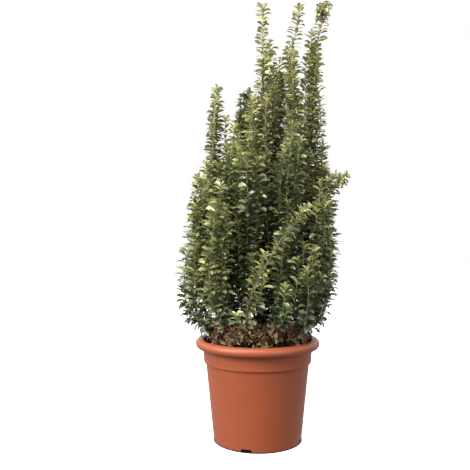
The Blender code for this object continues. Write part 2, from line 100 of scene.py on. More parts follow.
# Trunk and boughs, as in the solids
GAP = 0.0003
TRUNK_FLARE = 0.027
TRUNK_WAIST = 0.017
FORK_Z = SOIL_Z + 0.014
STUB_REACH = 0.034
DRY_STUB_REACH = 0.026
BOUGH_FOOT_RADIUS = 0.0038
BOUGH_TIP_RADIUS = 0.0028
INNER_LEAN = 12
OUTER_LEAN = 68
DRY_LEAN = 86
DRY_REACH = 0.098
FOOT_INSET = 0.74
OUTER_FOOT_Z = 0.242
INNER_FOOT_RISE = 0.030
CROWN_RADIUS = 0.150
BULGE = 1.16
FOOT_SWELL = 0.90
SWELL_LENGTH = 0.07
TIP_GIRTH = 0.017
TAPER_POWER = 0.8
LOW_RISE = 0.16
HIGH_RISE = 0.70
HIGH_PULL = 0.45
BOUGH_HANDLE = 0.35
DRY_RISE = 0.006
LINE_STEPS = 16

# Bark: the size of its cells on the trunk, and its relief and grain on stems
TRUNK_CELL = 0.0011
BOUGH_RELIEF = 0.16
GRAIN_ROUND = 420
GRAIN_UP = 130

# Shoots: each pair of radii is at the foot and at the tip
SEED = 23
LEADER_RADII = (0.0028, 0.0008)
SHOOT_RADII = (0.0016, 0.0007)
TUFT_RADII = (0.0010, 0.0006)
DRY_RADII = (0.0009, 0.0005)
DRY_STEM_RADII = (0.0024, 0.0011)
LEADER_SEGMENT = 0.020
SHOOT_SEGMENT = 0.014
SHOOT_STEP = 0.027
GOLDEN_TURN = 2.4
WAVE_REACH = 0.0016
SWAY_LENGTH = 0.07
SPREAD_LENGTH = 0.055
LEAST_GIRTH = 0.022
TIP_ROOM = 0.011
GREEN_LENGTH = 0.11

# The dry skirt, and how near leaves and twigs come to the pot, the soil and the CAD box
DRY_TWIGS = 14
DRY_TRIES = 6
SKIRT_RADIUS = 0.116
SKIRT_TOP = 0.262
# Above this height dry leaves take few light tan tones: a painted shade under the crown
SKIRT_PAINTED_SHADE_Z = 0.244
STREWN_LEAVES = 150
WALL_CLEARANCE = 0.001
BEAD_CLEARANCE = 0.0008
SOIL_DIP = 0.001
BOX_MARGIN = 0.006

# Leaves: stations are where along a leaf its corners lie, the outline how wide it is there
LEAF_LENGTH = 0.0205
LEAF_WIDTH = 0.0094
LEAF_THICKNESS = 0.018
LEAF_STATIONS = np.array([0.0, 0.24, 0.57, 0.84, 1.0])
LEAF_OUTLINE = np.array([0.0, 0.29, 0.50, 0.32, 0.0])
LEAF_CORNERS = 14
INTERNODE = 0.0053
FIRST_LEAF = 0.004
YOUNG_LENGTH = 0.026

# Stage: the sky's light by how steeply a ray climbs, what gloss adds to it, and the lamps
WHITE = (1, 1, 1, 1)
FLOOR_GLOW = 0.85
# The soft edge of the painted shadow on the floor under the pot
PAINTED_SHADOW_EDGE = 0.0025
SKY_CLIMB = (-0.22, 0.45)
SKY_LIGHT = (0.08, 0.74)
GLOSS_GAIN = 0.9
GLOSS_BASE = 0.42
LAMP_TARGET = (0, 0, 0.5)
LAMPS = (
    ("key", (-2.4, -1.4, 1.6), 1.8, 124),
    ("top", (-0.8, -1.5, 2.4), 1.6, 86),
    ("fill", (1.6, -2.1, 1.0), 1.6, 20),
)

# A mass as in the solids, then its leader's bare lead over the side shoots and how light
# its leaves are
Mass = namedtuple(
    "Mass", "name column tip girth taper bend lead tone", defaults=(0.12, None, 0.045, 0.42)
)

# Tones are the leaves' own, plus painted light: masses on the left, under the key lamp, are lighter
MASSES = (
    Mass("front_left", (-0.092, -0.100), (-0.080, -0.110, 0.580), 0.035, tone=0.60),
    Mass(
        "diagonal",
        (-0.028, -0.130),
        (0.108, -0.140, 0.530),
        0.024,
        0.14,
        ((-0.050, -0.156, 0.325), (0.020, -0.158, 0.420)),
        0.02,
        0.66,
    ),
    Mass("front_low", (0.040, -0.118), (0.054, -0.132, 0.362), 0.034, 0.08, tone=0.30),
    Mass("front_right_low", (0.104, -0.100), (0.114, -0.112, 0.440), 0.036, tone=0.28),
    Mass("left_front", (-0.122, -0.052), (-0.124, -0.060, 0.592), 0.033, tone=0.61),
    Mass("centre_front", (-0.018, -0.066), (-0.021, -0.076, 0.690), 0.036, tone=0.38),
    Mass("mid_front", (0.054, -0.060), (0.074, -0.066, 0.712), 0.036),
    Mass("right_front", (0.124, -0.046), (0.136, -0.058, 0.588), 0.034, tone=0.50),
    Mass(
        "left",
        (-0.134, 0.018),
        (-0.117, 0.004, 0.636),
        0.036,
        0.12,
        ((-0.204, 0.018, 0.296), (-0.112, 0.010, 0.500)),
        tone=0.56,
    ),
    Mass("left_inner", (-0.064, -0.008), (-0.052, -0.006, 0.718), 0.036, tone=0.45),
    Mass("spire_centre", (0.004, 0.002), (0.013, 0.000, 0.990), 0.036, 0.26, None, 0.090, 0.60),
    Mass("spire_inner", (0.072, 0.008), (0.0945, 0.000, 0.988), 0.036, 0.30, None, 0.090, 0.58),
    Mass(
        "right_outer",
        (0.138, 0.012),
        (0.197, -0.012, 0.600),
        0.029,
        0.08,
        ((0.190, 0.008, 0.300), (0.120, 0.002, 0.500)),
        tone=0.50,
    ),
    Mass("right", (0.124, 0.086), (0.156, 0.044, 0.674), 0.038, tone=0.46),
    Mass("spire_left", (-0.104, 0.078), (-0.092, 0.054, 0.814), 0.037, 0.20, None, 0.040, 0.42),
    Mass("back_inner_left", (-0.034, 0.066), (-0.024, 0.060, 0.806), 0.036, tone=0.44),
    Mass("back_inner_right", (0.034, 0.068), (0.056, 0.054, 0.886), 0.036, 0.11, tone=0.56),
    Mass("spire_right", (0.098, 0.060), (0.159, 0.046, 1.004), 0.037, 0.20, None, 0.075, 0.86),
    Mass("back_left", (-0.070, 0.132), (-0.078, 0.134, 0.650), 0.037),
    Mass("back_centre", (0.006, 0.134), (0.008, 0.134, 0.746), 0.037),
    Mass("back_right", (0.082, 0.132), (0.100, 0.130, 0.696), 0.037),
)
DRY_BEARINGS = tuple(math.radians(a) for a in (-88, -30, -141, 44, 131))

# Where a leader sways off its mass's axis: the offset, and the height where it is largest
SWAYS = {
    "spire_inner": ((-0.013, 0.002, 0.0), 0.85),
    "spire_centre": ((0.002, -0.002, 0.0), 0.85),
    "back_inner_left": ((-0.007, -0.014, 0.0), 0.79),
    "spire_right": ((-0.007, 0.002, 0.0), 0.86),
    "spire_left": ((-0.002, 0.0, 0.0), 0.68),
    "right_outer": ((-0.016, 0.0, 0.0), 0.51),
    "left_front": ((0.006, 0.0, 0.0), 0.46),
    "left": ((0.010, 0.0, 0.0), 0.50),
}

# Tips that end in a tuft of short twigs: how many, how far below the tip they start, and
# their reach
TUFTS = {
    "spire_right": (10, 0.030, 0.015),
    "right_outer": (7, 0.045, 0.016),
    "back_inner_left": (8, 0.056, 0.0125),
}

# Outlying shoots that show in the outline: mass, where it leaves its stem, and its tip
OUTLIERS = (
    ("left", 0.08, (-0.170, 0.004, 0.340)),
    ("left", 0.02, (-0.164, -0.006, 0.304)),
    ("left_front", 0.03, (-0.148, -0.066, 0.308)),
    ("left_front", 0.00, (-0.128, -0.036, 0.276)),
    ("right_front", 0.12, (0.158, -0.040, 0.378)),
    ("right_outer", 0.30, (0.148, -0.030, 0.456)),
    ("right_front", 0.02, (0.133, -0.036, 0.300)),
    ("right", 0.30, (0.166, 0.026, 0.548)),
    ("right", 0.62, (0.154, 0.038, 0.674)),
    ("left_front", 0.70, (-0.134, -0.056, 0.586)),
    ("spire_right", 0.58, (0.130, 0.046, 0.938)),
    ("spire_right", 0.54, (0.114, 0.036, 0.872)),
    ("spire_centre", 0.62, (0.030, -0.006, 0.874)),
    ("spire_centre", 0.58, (0.036, 0.006, 0.840)),
    ("spire_centre", 0.20, (0.030, -0.030, 0.560)),
    ("mid_front", 0.10, (0.034, -0.044, 0.500)),
    ("mid_front", 0.30, (0.040, -0.040, 0.610)),
    ("centre_front", 0.30, (0.016, -0.054, 0.580)),
    ("back_centre", 0.30, (0.042, 0.100, 0.640)),
    ("back_centre", 0.20, (-0.030, 0.100, 0.600)),
    ("right_front", 0.10, (0.096, -0.060, 0.440)),
    ("front_right_low", 0.20, (0.082, -0.096, 0.410)),
    ("mid_front", 0.05, (0.086, -0.040, 0.540)),
    ("spire_left", 0.60, (-0.072, 0.056, 0.738)),
)


def clamp(value):
    return min(1.0, max(0.0, value))


def bezier(points, t):
    a, b, c, d = points
    s = 1.0 - t
    return a * s**3 + b * (3 * s * s * t) + c * (3 * s * t * t) + d * t**3


def bezier_tangent(points, t):
    a, b, c, d = points
    s = 1.0 - t
    return ((b - a) * (s * s) + (c - b) * (2 * s * t) + (d - c) * (t * t)).normalized()


def trace(points, count, end=1.0):
    """Evenly stepped places on a curve, up to end."""
    return [bezier(points, end * i / count) for i in range(count + 1)]


def along(points, t):
    """The frame at t on a curve: its point, its direction and two directions across it."""
    up = bezier_tangent(points, t)
    side = Vector((1, 0, 0)) - up * up.x
    side.normalize()
    return bezier(points, t), up, side, up.cross(side)


def leaning(bearing, lean):
    """The direction at this bearing that leans so many degrees from upright."""
    lean = math.radians(lean)
    return Vector(
        (math.sin(lean) * math.cos(bearing), math.sin(lean) * math.sin(bearing), math.cos(lean))
    )


def foot_of(mass):
    x, y = (FOOT_INSET * c for c in mass.column)
    share = min(1.0, math.hypot(*mass.column) / CROWN_RADIUS)
    return Vector((x, y, OUTER_FOOT_Z + INNER_FOOT_RISE * (1 - share**1.5)))


def axis_of(mass):
    """The control points of a mass's stem, from its foot to its tip."""
    foot, tip = foot_of(mass), Vector(mass.tip)
    if mass.bend:
        return foot, Vector(mass.bend[0]), Vector(mass.bend[1]), tip
    rise = tip.z - foot.z
    column = Vector((*mass.column, 0))
    outward = column * BULGE
    low = Vector((outward.x, outward.y, foot.z + LOW_RISE * rise))
    high = Vector((column.x, column.y, 0)).lerp(Vector((tip.x, tip.y, 0)), HIGH_PULL)
    high.z = foot.z + HIGH_RISE * rise
    return foot, low, high, tip


def length_of(line):
    marks = trace(line, LINE_STEPS)
    return sum((b - a).length for a, b in zip(marks, marks[1:]))


FORK = Vector((0, 0, FORK_Z))
AXES = {mass.name: axis_of(mass) for mass in MASSES}
LENGTHS = {name: length_of(line) for name, line in AXES.items()}


def girth_at(mass, reached):
    """How far a mass reaches from its stem, so far along it."""
    left = max(0.0, LENGTHS[mass.name] - reached)
    swell = min(1.0, FOOT_SWELL + (1 - FOOT_SWELL) * reached / SWELL_LENGTH)
    taper = min(1.0, left / mass.taper) ** TAPER_POWER
    return TIP_GIRTH + (mass.girth * swell - TIP_GIRTH) * taper


def bough_line(mass):
    """The bough's control points, from inside the fork to the mass's foot."""
    axis = AXES[mass.name]
    share = min(1.0, math.hypot(axis[0].x, axis[0].y) / (FOOT_INSET * CROWN_RADIUS))
    lean = INNER_LEAN + (OUTER_LEAN - INNER_LEAN) * share
    out = leaning(math.atan2(axis[0].y, axis[0].x), lean)
    start = FORK + out * (STUB_REACH + GAP)
    up = bezier_tangent(axis, 0)
    end = axis[0] - up * GAP
    reach = (end - start).length
    return start, start + out * reach * BOUGH_HANDLE, end - up * reach * BOUGH_HANDLE, end


def dry_line(bearing):
    """A dry stem's control points, from inside the fork to near the rim."""
    start = FORK + leaning(bearing, DRY_LEAN) * (DRY_STUB_REACH + GAP)
    x, y = DRY_REACH * math.cos(bearing), DRY_REACH * math.sin(bearing)
    end = Vector((x, y, FORK_Z + DRY_RISE))
    return start, start.lerp(end, 0.33), start.lerp(end, 0.66), end


class Shoot:
    """A leafy stem: its points, its radii at both ends, and what its leaves are like."""

    def __init__(self, points, thick, thin, tone=0.5, size=1.0, fresh=0.04, gain=0.6, kind="green"):
        self.points = np.array([tuple(p) for p in points])
        steps = np.linalg.norm(np.diff(self.points, axis=0), axis=1)
        self.marks = np.concatenate(([0.0], np.cumsum(steps)))
        self.length = self.marks[-1]
        self.thick, self.thin = thick, thin
        self.tone, self.size, self.fresh, self.gain, self.kind = tone, size, fresh, gain, kind

    def place(self, reached):
        return np.array([np.interp(reached, self.marks, self.points[:, i]) for i in range(3)])

    def at(self, reached):
        ahead, behind = min(self.length, reached + 0.004), max(0.0, reached - 0.004)
        line = self.place(ahead) - self.place(behind)
        return self.place(reached), line / np.linalg.norm(line)


def sway(mass, place):
    """How far a leader is off its mass's axis at this point."""
    wave_x = math.sin(place.z * 31 + mass.tip[0] * 90)
    wave_y = math.sin(place.z * 27 + mass.tip[1] * 70)
    offset = Vector((wave_x, wave_y, 0)) * WAVE_REACH
    if mass.name in SWAYS:
        way, height = SWAYS[mass.name]
        offset += Vector(way) * math.exp(-(((place.z - height) / SWAY_LENGTH) ** 2))
    return offset


def leader(mass):
    """A leader's points: its mass's axis and the sway, which fades out at both ends."""
    length = LENGTHS[mass.name]
    count = max(8, round(length / LEADER_SEGMENT))
    made = []
    for i, place in enumerate(trace(AXES[mass.name], count, 1 - TIP_ROOM / length)):
        inner = min(1.0, 6 * i / count, 6 * (1 - i / count))
        made.append(place + sway(mass, place) * math.sin(math.pi * inner / 2))
    return made


def side_path(mass, start, rise, bearing, share, drift, bow, flare):
    """A side shoot's points: out from the mass's stem, then up beside it."""
    axis, length = AXES[mass.name], LENGTHS[mass.name]
    count = max(7, round(rise / SHOOT_SEGMENT))
    made = []
    for i in range(count + 1):
        u = i / count
        reached = min(length, start + rise * u)
        place, _, side, across = along(axis, reached / length)
        spread = min(1.0, rise * u / SPREAD_LENGTH)
        spread = spread * (2 - spread)
        turn = bearing + drift * u
        out = side * math.cos(turn) + across * math.sin(turn)
        girth = max(girth_at(mass, reached), LEAST_GIRTH)
        away = share * girth * spread + bow * math.sin(math.pi * u) + flare * u**3
        made.append(place + sway(mass, place) * min(1.0, u * 4) + out * away)
    return made


def grow_mass(mass, rng):
    """All the shoots of one mass: its leader, its side shoots and the tuft at its tip."""
    length = LENGTHS[mass.name]
    spire = mass.name.startswith("spire")
    blunt, slim = mass.name == "back_inner_left", mass.name == "diagonal"
    kind = "blunt" if blunt else "spire" if spire else "green"
    gain = 0.0 if blunt else 0.16 if spire else 1.00 if mass.name == "front_low" else 0.50
    tone, size = mass.tone + (0.20 if slim else 0.06), 0.92 if slim else 1.0
    made = [Shoot(leader(mass), *LEADER_RADII, tone, size, 0.05, gain, kind)]
    outward = math.atan2(mass.column[1], mass.column[0])
    start = 0.004
    bearing = rng.uniform(0, math.tau)
    kind = "blunt" if blunt else "green"
    while start < length - mass.lead - 0.05:
        upper = spire and start > 0.5 * length
        room = length - mass.lead * rng.uniform(1.0, 2.3 if spire else 1.7) - start
        rise = max(0.050, min(room, rng.uniform(0.12, 0.27) * (0.45 if slim else 1)))
        share = rng.uniform(0.30, 0.70)
        if AXES[mass.name][0].z + start >= 0.33:
            share *= 1 - 0.45 * max(0.0, math.cos(bearing - outward))
        if upper:
            share *= 0.45 if mass.name == "spire_right" and math.cos(bearing) > 0 else 0.60
        drift, bow = rng.uniform(-0.8, 0.8), rng.uniform(-0.003, 0.007)
        flare = rng.uniform(-0.002, 0.009)
        path = side_path(mass, start, rise, bearing, share, drift, bow, flare)
        tone = mass.tone + rng.gauss(0, 0.11) + (0.10 if upper else 0)
        size = rng.uniform(0.86, 1.16)
        gain = rng.uniform(0.15, 1.00) * (0.0 if blunt else 1)
        fresh = rng.uniform(0.02, 0.05)
        made.append(Shoot(path, *SHOOT_RADII, tone, size, fresh, gain, kind))
        bearing += GOLDEN_TURN + rng.uniform(-0.4, 0.4)
        spacing = 2.6 if slim else 1.8 if upper else 1
        start += SHOOT_STEP * rng.uniform(0.6, 1.4) * spacing
    if mass.name in TUFTS:
        looks = (mass.tone, 0.95, 0.03, gain, kind)
        if spire:
            looks = (0.44, 0.85, 0.03, 0.1, "curled")
        made += grow_tuft(made[0], *TUFTS[mass.name], looks, rng)
    return made


def grow_tuft(stem, count, below, far, looks, rng):
    """Short twigs all round the tip of a leader."""
    made = []
    for i in range(count):
        foot, up = stem.at(stem.length - below * (i + 0.6) / count)
        reach = far * rng.uniform(0.75, 1.2)
        way = (Vector(up) * 0.7 + leaning(GOLDEN_TURN * i, 90)).normalized()
        path = []
        for u in (0, 0.35, 0.7, 1):
            path.append(Vector(foot) + way * reach * u + Vector((0, 0, 0.004 * u * u)))
        made.append(Shoot(path, *TUFT_RADII, *looks))
    return made


def grow_outlier(name, share, tip, rng):
    """One shoot that curves from its mass's stem up to a tip of its own."""
    foot, up, _, _ = along(AXES[name], share)
    tip = Vector(tip)
    reach = (tip - foot).length
    away = Vector((tip.x - foot.x, tip.y - foot.y, 0)).normalized()
    first = foot + (up * 0.4 + away).normalized() * reach * 0.4
    last = tip - Vector((away.x * 0.25, away.y * 0.25, 1)).normalized() * reach * 0.35
    points = trace((foot, first, last, tip), max(6, round(reach / SHOOT_SEGMENT)))
    tone = 0.42 + rng.uniform(-0.1, 0.1)
    return Shoot(points, *SHOOT_RADII, tone, 1.05, 0.025, rng.uniform(0.2, 0.6))


def clear_of_pot(points):
    """True for each point that is clear of the pot's wall, its rim and the soil."""
    radius, z = np.hypot(points[..., 0], points[..., 1]), points[..., 2]
    bead = np.hypot(radius - (RIM_RADIUS - BEAD_RADIUS), z - (POT_HEIGHT - BEAD_RADIUS))
    wall = (z < POT_HEIGHT - BEAD_RADIUS) & (radius > COLLAR_TOP_RADIUS - WALL - WALL_CLEARANCE)
    return (bead > BEAD_RADIUS + BEAD_CLEARANCE) & ~wall & (z > SOIL_Z + SOIL_CROWN - SOIL_DIP)


def grow_dry(rng):
    """Short twigs with dry leaves, low on boughs, shoots and the dry stems inside the rim."""
    lines = [(bough_line(mass), 0.20, 1.0, DRY_TWIGS) for mass in MASSES]
    lines += [(AXES[mass.name], 0.0, 0.022 / LENGTHS[mass.name], 5) for mass in MASSES]
    lines += [(dry_line(bearing), 0.10, 1.0, 12) for bearing in DRY_BEARINGS]
    made = []
    for line, low, high, count in lines:
        for i in range(count):
            foot = bezier(line, low + (high - low) * (i + rng.random()) / count)
            outward = math.atan2(foot.y, foot.x) + rng.uniform(-1.4, 1.4)
            for _ in range(DRY_TRIES):
                way = leaning(outward, rng.uniform(30, 100))
                reach = rng.uniform(0.020, 0.044)
                drop = rng.uniform(0.0, 0.010)
                path = []
                for u in (0, 0.3, 0.6, 1):
                    path.append(foot + way * reach * u - Vector((0, 0, drop * u * u)))
                tip = path[-1]
                if math.hypot(tip.x, tip.y) > SKIRT_RADIUS or tip.z > SKIRT_TOP:
                    continue
                if clear_of_pot(np.array([tuple(p) for p in path[1:]])).all():
                    size = rng.uniform(0.60, 0.86)
                    made.append(Shoot(path, *DRY_RADII, size=size, kind="dry"))
                    break
    return made


class Leaves:
    """The leaves of one tone: one row of numbers for each."""

    def __init__(self):
        self.rows = []

    def add(self, root, out, up, length, width, rise, bend, fold, roll, twist):
        self.rows.append((*root, *out, *up, length, width, rise, bend, fold, roll, twist))

    def corners(self):
        """Every leaf's corners: root, three rings of left, top, right and underside, and tip."""
        rows = np.array(self.rows)
        root, out, up = rows[:, 0:3], rows[:, 3:6], rows[:, 6:9]
        length, width, rise, bend, fold, roll, twist = rows[:, 9:].T
        corners = np.zeros((len(rows), LEAF_CORNERS, 3))
        place = root.copy()
        corners[:, 0] = root
        last = len(LEAF_STATIONS) - 1
        for k in range(1, last + 1):
            step = LEAF_STATIONS[k] - LEAF_STATIONS[k - 1]
            angle = rise - bend * (LEAF_STATIONS[k] + LEAF_STATIONS[k - 1]) / 2
            line = out * np.cos(angle)[:, None] + up * np.sin(angle)[:, None]
            place = place + line * (length * step)[:, None]
            if k == last:
                corners[:, -1] = place
                break
            angle = rise - bend * LEAF_STATIONS[k]
            line = out * np.cos(angle)[:, None] + up * np.sin(angle)[:, None]
            face = up * np.cos(angle)[:, None] - out * np.sin(angle)[:, None]
            across = np.cross(face, line)
            turn = roll + twist * LEAF_STATIONS[k]
            side = across * np.cos(turn)[:, None] + face * np.sin(turn)[:, None]
            face = face * np.cos(turn)[:, None] - across * np.sin(turn)[:, None]
            half = (width * LEAF_OUTLINE[k])[:, None]
            lift = face * half * np.sin(fold)[:, None]
            reach = side * half * np.cos(fold)[:, None]
            at = 1 + 4 * (k - 1)
            corners[:, at] = place + reach + lift
            corners[:, at + 1] = place
            corners[:, at + 2] = place - reach + lift
            corners[:, at + 3] = place - face * (length * LEAF_THICKNESS)[:, None]
        return corners


def leaf_faces():
    """The faces of one leaf, upper side first, as lists of corner numbers."""
    upper, under = [], []
    upper += [(0, 2, 1), (0, 3, 2)]
    under += [(0, 1, 4), (0, 4, 3)]
    for k in range(2):
        a, b = 1 + 4 * k, 5 + 4 * k
        upper += [(a + 1, b + 1, b, a), (a + 1, a + 2, b + 2, b + 1)]
        under += [(a + 3, a, b, b + 3), (a + 3, b + 3, b + 2, a + 2)]
    upper += [(10, 13, 9), (10, 11, 13)]
    under += [(12, 9, 13), (12, 13, 11)]
    return upper, under


def mesh_of(name, corners, sizes, loops):
    """A mesh from its corners, each face's size and the corner numbers of all faces in turn."""
    mesh = bpy.data.meshes.new(name)
    mesh.vertices.add(len(corners))
    mesh.vertices.foreach_set("co", np.asarray(corners, dtype=np.float32).ravel())
    mesh.loops.add(len(loops))
    mesh.loops.foreach_set("vertex_index", np.asarray(loops, dtype=np.int32))
    mesh.polygons.add(len(sizes))
    starts = np.concatenate(([0], np.cumsum(sizes)[:-1]))
    mesh.polygons.foreach_set("loop_start", starts.astype(np.int32))
    mesh.update(calc_edges=True)
    return mesh


def leaf_mesh(name, corners):
    """Many leaves as one mesh, each closed, with its underside in the second material slot."""
    upper, under = leaf_faces()
    one = upper + under
    count = len(corners)
    sizes = np.tile([len(face) for face in one], count)
    flat = np.array([i for face in one for i in face])
    loops = (flat[None, :] + LEAF_CORNERS * np.arange(count)[:, None]).ravel()
    mesh = mesh_of(name, corners.reshape(-1, 3), sizes, loops)
    slots = np.tile([0] * len(upper) + [1] * len(under), count)
    mesh.polygons.foreach_set("material_index", slots.astype(np.int32))
    mesh.shade_smooth()
    mesh.set_sharp_from_angle(angle=math.radians(30))
    return mesh


def link(name, mesh, slot, *materials):
    """A visible piece that rides on the one body."""
    made = bpy.data.objects.new(name, mesh)
    bpy.context.scene.collection.objects.link(made)
    for paint in materials:
        mesh.materials.append(paint)
    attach(made, "root")
    return made


def tubes_mesh(name, lines, sides=5, relief=0.0):
    """Closed round stems along many paths, as one mesh."""
    corners, faces, base = [], [], 0
    for points, radii in lines:
        points = np.asarray(points, dtype=float)
        line = np.gradient(points, axis=0)
        line /= np.linalg.norm(line, axis=1)[:, None]
        ref = np.eye(3)[int(np.argmin(np.abs(points[-1] - points[0])))]
        first = ref - line * (line @ ref)[:, None]
        first /= np.linalg.norm(first, axis=1)[:, None]
        second = np.cross(line, first)
        for i, (place, radius) in enumerate(zip(points, radii)):
            for j in range(sides):
                turn = math.tau * j / sides
                way = first[i] * math.cos(turn) + second[i] * math.sin(turn)
                r = radius
                if relief:
                    x, y, z = place + way * radius
                    grain = Vector((x * GRAIN_ROUND, y * GRAIN_ROUND, z * GRAIN_UP))
                    r *= 1 + relief * noise.noise(grain)
                corners.append(place + way * r)
        rings = len(points)
        for i in range(rings - 1):
            for j in range(sides):
                a, b = base + i * sides + j, base + i * sides + (j + 1) % sides
                faces.append((a, b, b + sides, a + sides))
        faces.append(tuple(base + j for j in reversed(range(sides))))
        faces.append(tuple(base + (rings - 1) * sides + j for j in range(sides)))
        base += rings * sides
    sizes = [len(face) for face in faces]
    mesh = mesh_of(name, np.array(corners), sizes, [i for face in faces for i in face])
    mesh.shade_smooth()
    mesh.set_sharp_from_angle(angle=math.radians(50))
    return mesh


def dry_share(place):
    """The share of leaves that are dry at this place: a skirt round the foot of the crown."""
    x, y, z = place
    front = max(0.0, math.cos(math.atan2(x - 0.01, -y) * 1.1)) if y < 0 else 0.0
    top = SKIRT_TOP + 0.020 * front
    inside = clamp((0.126 - math.hypot(x, y)) / 0.012)
    return clamp((top - z) / 0.016) * (0.45 + 0.55 * front) * inside


def by_height(kind, z):
    """How light, how darkened by painted shade and how large a shoot's leaves are at this height.
    """
    # Leaves are lighter higher up: partly young growth, partly a painted backlight
    high = 0.0 if kind == "blunt" else clamp((z - 0.50) / 0.34)
    if high:
        high += 0.4 * clamp((z - 0.77) / 0.12)
    # Low in the crown leaves are darker, a painted shade, and a little smaller
    shade = clamp((0.36 - z) / 0.08)
    return high, shade, 1.14 - 0.14 * clamp((z - 0.50) / 0.20) - 0.08 * shade


def clothe(shoot, rng, tables):
    """Puts pairs of leaves along a shoot, each pair about a quarter turn from the last."""
    reached = FIRST_LEAF
    azimuth = rng.uniform(0, math.tau)
    drift = rng.gauss(0, 0.06)
    all_dry, curled = shoot.kind == "dry", shoot.kind == "curled"
    crowd, shrink = (0.80, 0.26) if shoot.kind == "spire" else (1.0, 0.42)
    while reached < shoot.length:
        left = shoot.length - reached
        young = max(0.0, 1 - left / YOUNG_LENGTH)
        place, up = shoot.at(reached)
        up_v = Vector(up)
        side = Vector((1, 0, 0)) if abs(up_v.x) < 0.8 else Vector((0, 0, 1))
        side = (side - up_v * side.dot(up_v)).normalized()
        across = up_v.cross(side)
        azimuth += math.pi / 2 + drift + rng.uniform(-0.24, 0.24)
        radius = shoot.thick + (shoot.thin - shoot.thick) * reached / shoot.length
        high, shade, grown = by_height(shoot.kind, place[2])
        dry_here = 1.0 if all_dry else dry_share(place)
        pace = 1.0 if shoot.kind in ("dry", "curled", "blunt") else 0.90 + grown * 0.16
        for way in (0, math.pi):
            if not young and rng.random() < (0.15 if all_dry else 0.04):
                continue
            dry = rng.random() < (0.28 if curled else dry_here)
            turn = azimuth + way + rng.uniform(-0.24, 0.24)
            out = side * math.cos(turn) + across * math.sin(turn)
            size = shoot.size * rng.uniform(0.78, 1.16) * grown * (1 - shrink * young**3)
            rise = math.radians(rng.uniform(34, 60) + 18 * young**2)
            bend = math.radians(rng.uniform(50, 90) * (1 - 0.30 * young))
            fold = math.radians(rng.uniform(8, 24) + 12 * young)
            roll = rng.gauss(0, 0.36)
            twist = rng.gauss(0, 0.36)
            width = LEAF_WIDTH * size * rng.uniform(0.86, 1.12)
            # Lighter high up (young growth and painted backlight), darker low down (painted shade)
            tone = shoot.tone + rng.gauss(0, 0.14) + 0.42 * high - 0.24 * shade
            near_tip = max(0.0, 1 - left / (shoot.fresh + 0.012)) ** 1.3
            tone += shoot.gain * (1 - 0.7 * shade) * near_tip
            if curled:
                bend = math.radians(rng.uniform(70, 150))
                roll = rng.gauss(0, 0.4)
            if dry and curled:
                tone = 0.2
            elif dry:
                rise += rng.uniform(-0.6, 0.4)
                bend = math.radians(rng.uniform(20, 120))
                fold = math.radians(rng.uniform(12, 44))
                twist = rng.gauss(0, 0.6)
                width *= rng.uniform(0.75, 1.1)
                tone = rng.random()
                # High in the skirt dry leaves are darker, a painted shade under the crown
                if place[2] > SKIRT_PAINTED_SHADE_Z:
                    tone = 0.30 + 0.42 * tone
            root = place + np.array(out) * radius * 0.4
            tables[tone_of(tone, dry)].add(
                root, out, up_v, LEAF_LENGTH * size, width, rise, bend, fold, roll, twist
            )
        step = INTERNODE * crowd * pace * shoot.size * grown * (1 - 0.66 * young)
        reached += step * rng.uniform(0.78, 1.22)


def strew(rng, tables):
    """Dry leaves that lie on the soil."""
    for _ in range(STREWN_LEAVES):
        bearing = rng.uniform(0, math.tau)
        radius = 0.104 * math.sqrt(rng.uniform(0.12, 1))
        root = (radius * math.cos(bearing), radius * math.sin(bearing), SOIL_Z + 0.0065)
        turn = rng.uniform(0, math.tau)
        out = (math.cos(turn), math.sin(turn), 0)
        table = tables[tone_of(rng.random(), True)]
        length, width = LEAF_LENGTH * rng.uniform(0.6, 0.9), LEAF_WIDTH * rng.uniform(0.5, 0.9)
        rise, bend = rng.uniform(0.2, 0.5), rng.uniform(0.2, 0.9)
        fold, roll = rng.uniform(0.3, 0.9), rng.gauss(0, 0.3)
        table.add(root, out, (0, 0, 1), length, width, rise, bend, fold, roll, 0.0)


# Tones from dark to light; a leaf has the first tone whose top is above its value
TONES = ("deep", "dark", "mid", "green", "fresh", "bright", "lime")
TONE_TOPS = (0.16, 0.32, 0.48, 0.66, 0.88, 1.28)
DRY_TONES = ("olive", "brown", "tan")
DRY_TONE_TOPS = (0.44, 0.70)


def tone_of(value, dry):
    names, tops = (DRY_TONES, DRY_TONE_TOPS) if dry else (TONES, TONE_TOPS)
    return names[sum(value >= top for top in tops)]


def set_inputs(node, values):
    """Sets a node's inputs by name, with an underscore for each space."""
    for key, value in values.items():
        node.inputs[key.replace("_", " ")].default_value = value


def add_node(tree, kind, **values):
    node = tree.nodes.new(kind)
    set_inputs(node, values)
    return node


def principled(name, colour, roughness, **values):
    paint = bpy.data.materials.new(name)
    paint.use_nodes = True
    shader = paint.node_tree.nodes["Principled BSDF"]
    shader.inputs["Base Color"].default_value = (*colour, 1)
    shader.inputs["Roughness"].default_value = roughness
    set_inputs(shader, values)
    paint.diffuse_color = (*colour, 1)
    return paint, shader, paint.node_tree


def noise_colour(tree, shader, scale, dark, light, detail=4.0, low=0.35, high=0.65):
    """A base colour that varies between two colours over the surface."""
    coords = add_node(tree, "ShaderNodeTexCoord")
    cloud = add_node(tree, "ShaderNodeTexNoise", Scale=scale, Detail=detail)
    ramp = add_node(tree, "ShaderNodeValToRGB")
    for end, place, colour in zip(ramp.color_ramp.elements, (low, high), (dark, light)):
        end.position = place
        end.color = (*colour, 1)
    tree.links.new(coords.outputs["Object"], cloud.inputs["Vector"])
    tree.links.new(cloud.outputs["Fac"], ramp.inputs["Fac"])
    tree.links.new(ramp.outputs["Color"], shader.inputs["Base Color"])
    return coords


